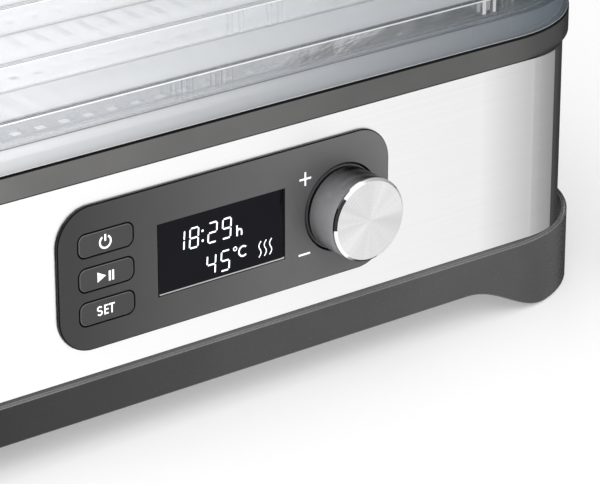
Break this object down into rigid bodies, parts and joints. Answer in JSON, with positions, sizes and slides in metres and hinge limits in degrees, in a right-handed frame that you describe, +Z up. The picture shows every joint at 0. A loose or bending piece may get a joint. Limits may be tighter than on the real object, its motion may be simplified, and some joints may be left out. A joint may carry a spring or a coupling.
{
  "type": "food dehydrator",
  "caption": "Rectangular food dehydrator: heated fan base with steel front, display, keys and knob, clear slatted trays stacked under a vented lid.",
  "frame": {"origin": "middle of the whole object's footprint, on the surface that it stands on", "axes": "+Z up; the control panel faces -Y; +X is to the right seen from the front"},
  "size_m": [0.4632, 0.3264, 0.2875],
  "materials": {
    "housing_plastic": "satin moulded",
    "skirt_plastic": "satin moulded",
    "rubber": "matte",
    "steel": "horizontal brushed",
    "panel_plastic": "fine matt grain",
    "lens": "clear",
    "lcd": "dark display",
    "key_plastic": "satin",
    "knob_plastic": "satin",
    "cap_metal": "spun face",
    "plain_steel": "plated",
    "switch_plastic": "matte",
    "board": "solder mask",
    "power_board": "paper laminate",
    "parts": "matte",
    "deck_plastic": "satin moulded",
    "duct_sheet": "plain sheet",
    "motor_metal": "satin",
    "fan_plastic": "satin",
    "mica": "layered mica",
    "heater_wire": "oxidised",
    "sensor": "epoxy",
    "clear_plastic": "clear moulded",
    "grip_plastic": "satin"
  },
  "bodies": {
    "base": {"base_housing": "housing_plastic", "base_pan": "skirt_plastic", "foot_pads": "rubber", "stainless_panel": "steel", "panel_bezel": "panel_plastic", "display_window": "lens", "lcd_module": "lcd", "encoder_body": "parts", "control_board": "board", "tact_switches": "switch_plastic", "board_screws": "plain_steel", "air_deck": "deck_plastic", "deck_screws": "plain_steel", "drip_cap": "deck_plastic", "fan_duct": "duct_sheet", "motor_bracket": "plain_steel", "fan_motor": "motor_metal", "heater_frame": "mica", "heater_coil": "heater_wire", "thermal_cutout": "plain_steel", "air_sensor": "sensor", "intake_grille": "skirt_plastic", "power_board": "power_board", "power_parts": "parts", "power_screws": "plain_steel", "pan_screws": "plain_steel", "cord_inlet": "rubber"},
    "knob": {"knob_body": "knob_plastic", "knob_cap": "cap_metal", "encoder_shaft": "plain_steel"},
    "power_key": {"power_button": "key_plastic"},
    "play_key": {"play_button": "key_plastic"},
    "set_key": {"set_button": "key_plastic"},
    "fan": {"fan_shaft": "plain_steel", "fan_impeller": "fan_plastic"},
    "tray_1": {"tray_1": "clear_plastic", "floor_1": "clear_plastic"},
    "tray_2": {"tray_2": "clear_plastic", "floor_2": "clear_plastic"},
    "tray_3": {"tray_3": "clear_plastic", "floor_3": "clear_plastic"},
    "tray_4": {"tray_4": "clear_plastic", "floor_4": "clear_plastic"},
    "tray_5": {"tray_5": "clear_plastic", "floor_5": "clear_plastic"},
    "lid": {"lid": "clear_plastic", "lid_handle": "grip_plastic", "lid_screws": "plain_steel"}
  },
  "joints": [
    {"name": "knob_turn", "type": "hinge", "parent": "base", "child": "knob", "pos_m": [0.0619, -0.1417, 0.0789], "axis": [0, -1, 0], "continuous": true},
    {"name": "power_press", "type": "slide", "parent": "base", "child": "power_key", "axis": [0, 1, 0], "range_m": [0, 0.0008], "stiffness_N_per_m": 600},
    {"name": "play_press", "type": "slide", "parent": "base", "child": "play_key", "axis": [0, 1, 0], "range_m": [0, 0.0008], "stiffness_N_per_m": 600},
    {"name": "set_press", "type": "slide", "parent": "base", "child": "set_key", "axis": [0, 1, 0], "range_m": [0, 0.0008], "stiffness_N_per_m": 600},
    {"name": "fan_spin", "type": "hinge", "parent": "base", "child": "fan", "pos_m": [0, 0.0083, 0.0615], "axis": [0, 0, 1], "continuous": true},
    {"name": "tray_1_lift", "type": "slide", "parent": "base", "child": "tray_1", "axis": [0, 0, 1], "range_m": [0, 0.06]},
    {"name": "tray_2_lift", "type": "slide", "parent": "tray_1", "child": "tray_2", "axis": [0, 0, 1], "range_m": [0, 0.06]},
    {"name": "tray_3_lift", "type": "slide", "parent": "tray_2", "child": "tray_3", "axis": [0, 0, 1], "range_m": [0, 0.06]},
    {"name": "tray_4_lift", "type": "slide", "parent": "tray_3", "child": "tray_4", "axis": [0, 0, 1], "range_m": [0, 0.06]},
    {"name": "tray_5_lift", "type": "slide", "parent": "tray_4", "child": "tray_5", "axis": [0, 0, 1], "range_m": [0, 0.06]},
    {"name": "lid_lift", "type": "slide", "parent": "tray_5", "child": "lid", "axis": [0, 0, 1], "range_m": [0, 0.08]}
  ]
}
